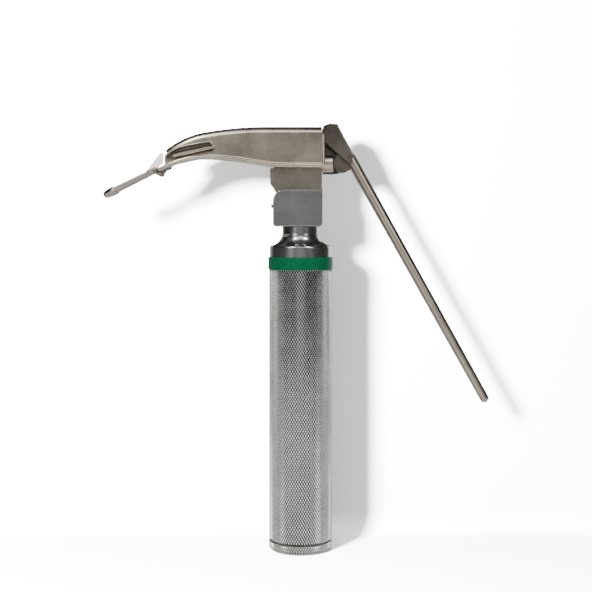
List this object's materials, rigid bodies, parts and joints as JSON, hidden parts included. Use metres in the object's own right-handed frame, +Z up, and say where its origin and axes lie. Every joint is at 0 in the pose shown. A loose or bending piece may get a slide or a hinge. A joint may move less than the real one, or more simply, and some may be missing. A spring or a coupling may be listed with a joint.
{
  "type": "laryngoscope",
  "caption": "Levering-tip laryngoscope: knurled battery handle with a curved hook-on steel blade, hinged tip and long squeeze lever.",
  "frame": {"origin": "centre of the base cap's flat bottom face, on the handle's axis", "axes": "+Z up the handle, -X the way the blade points, +X the side of the squeeze lever, Y across the blade"},
  "size_m": [0.1743, 0.0292, 0.1925],
  "materials": {
    "grip_chrome": "satin chrome, diamond knurled",
    "ring_green": "deep green anodised or moulded colour code ring",
    "head_chrome": "satin chrome, turned",
    "cap_chrome": "satin chrome, knurled",
    "pin_steel": "ground stainless steel",
    "battery_jacket": "plain plastic jacket",
    "contact_brass": "bright brass",
    "insulator": "natural nylon",
    "spring_steel": "drawn wire",
    "lamp_glass": "clear",
    "seal_rubber": "black O-ring",
    "heel_steel": "warm grey satin stainless steel",
    "fibre_glass": "polished fibre face",
    "blade_steel": "satin stainless steel",
    "tube_steel": "drawn stainless tube",
    "yoke_steel": "satin stainless steel",
    "lever_steel": "satin stainless steel",
    "drum_steel": "bright turned face",
    "tip_steel": "satin stainless steel",
    "fin_steel": "polished stainless steel"
  },
  "bodies": {
    "handle": {"grip_tube": "grip_chrome", "colour_ring": "ring_green", "hook_on_head": "head_chrome", "hinge_pin": "head_chrome", "battery_lower": "battery_jacket", "battery_upper": "battery_jacket", "battery_terminals": "contact_brass", "contact_disc": "insulator", "contact_pin": "contact_brass", "contact_sleeve": "insulator", "lamp_spring": "spring_steel"},
    "lamp_carrier": {"lamp_sleeve": "contact_brass", "lamp_bulb_base": "contact_brass", "lamp_bulb": "lamp_glass", "lamp_window": "lamp_glass"},
    "cap_ring": {"cap_seal": "seal_rubber"},
    "cap": {"base_cap": "cap_chrome", "cap_spring": "spring_steel"},
    "blade": {"heel_block": "heel_steel", "heel_rivets": "heel_steel", "fibre_inlet": "fibre_glass", "fibre_bundle": "fibre_glass", "blade_body": "blade_steel", "light_tube": "tube_steel", "fibre_outlet": "fibre_glass", "tube_cover": "heel_steel", "drum_housing": "heel_steel", "rod_guides": "heel_steel", "return_spring": "spring_steel", "lever_bracket": "heel_steel", "detent_spring": "spring_steel"},
    "ball_near": {"detent_ball_near": "pin_steel"},
    "ball_far": {"detent_ball_far": "pin_steel"},
    "lever": {"lever_yoke": "yoke_steel", "lever_bar": "lever_steel", "lever_heel": "yoke_steel", "lever_pivot_pin": "yoke_steel"},
    "rod": {"drum": "drum_steel", "push_rod": "pin_steel"},
    "tip": {"tip_plate": "tip_steel", "tip_fin": "fin_steel", "tip_hinge_pin": "pin_steel", "tip_link_pin": "pin_steel"}
  },
  "joints": [
    {"name": "blade_fold", "type": "hinge", "parent": "handle", "child": "blade", "pos_m": [-0.0095, 0, 0.1563], "axis": [0, -1, 0], "range_deg": [0, 71]},
    {"name": "lever_squeeze", "type": "hinge", "parent": "blade", "child": "lever", "pos_m": [0.0132, 0, 0.1876], "axis": [0, 1, 0], "range_deg": [0, 19], "stiffness_Nm_per_rad": 0.05, "springref_deg": -28.65},
    {"name": "rod_slide", "type": "slide", "parent": "blade", "child": "rod", "axis": [-1, 0, 0], "range_m": [0, 0.00465], "deforming": ["return_spring"]},
    {"name": "tip_flex", "type": "hinge", "parent": "blade", "child": "tip", "pos_m": [-0.06245, 0, 0.1692], "axis": [0, -1, 0], "range_deg": [0, 60.5]},
    {"name": "lamp_rise", "type": "slide", "parent": "handle", "child": "lamp_carrier", "axis": [0, 0, 1], "range_m": [0, 0.00152], "deforming": ["lamp_spring"]},
    {"name": "cap_travel", "type": "slide", "parent": "handle", "child": "cap_ring", "axis": [0, 0, -1], "range_m": [0, 0.00152]},
    {"name": "cap_turn", "type": "hinge", "parent": "cap_ring", "child": "cap", "pos_m": [0, 0, 0], "axis": [0, 0, -1], "range_deg": [0, 360]},
    {"name": "ball_near_press", "type": "slide", "parent": "blade", "child": "ball_near", "axis": [0, 1, 0], "range_m": [0, 0.00035], "stiffness_N_per_m": 500, "springref_m": -0.001, "deforming": ["detent_spring"]},
    {"name": "ball_far_press", "type": "slide", "parent": "blade", "child": "ball_far", "axis": [0, -1, 0], "range_m": [0, 0.00035], "stiffness_N_per_m": 500, "springref_m": -0.001}
  ],
  "couplings": [
    {"joint": "rod_slide", "follows": "lever_squeeze", "m_per_rad": 0.013914},
    {"joint": "tip_flex", "follows": "lever_squeeze", "ratio": 3.1579},
    {"joint": "lamp_rise", "follows": "blade_fold", "m_per_rad": 0.0012105},
    {"joint": "cap_travel", "follows": "cap_turn", "m_per_rad": 0.00023873}
  ]
}
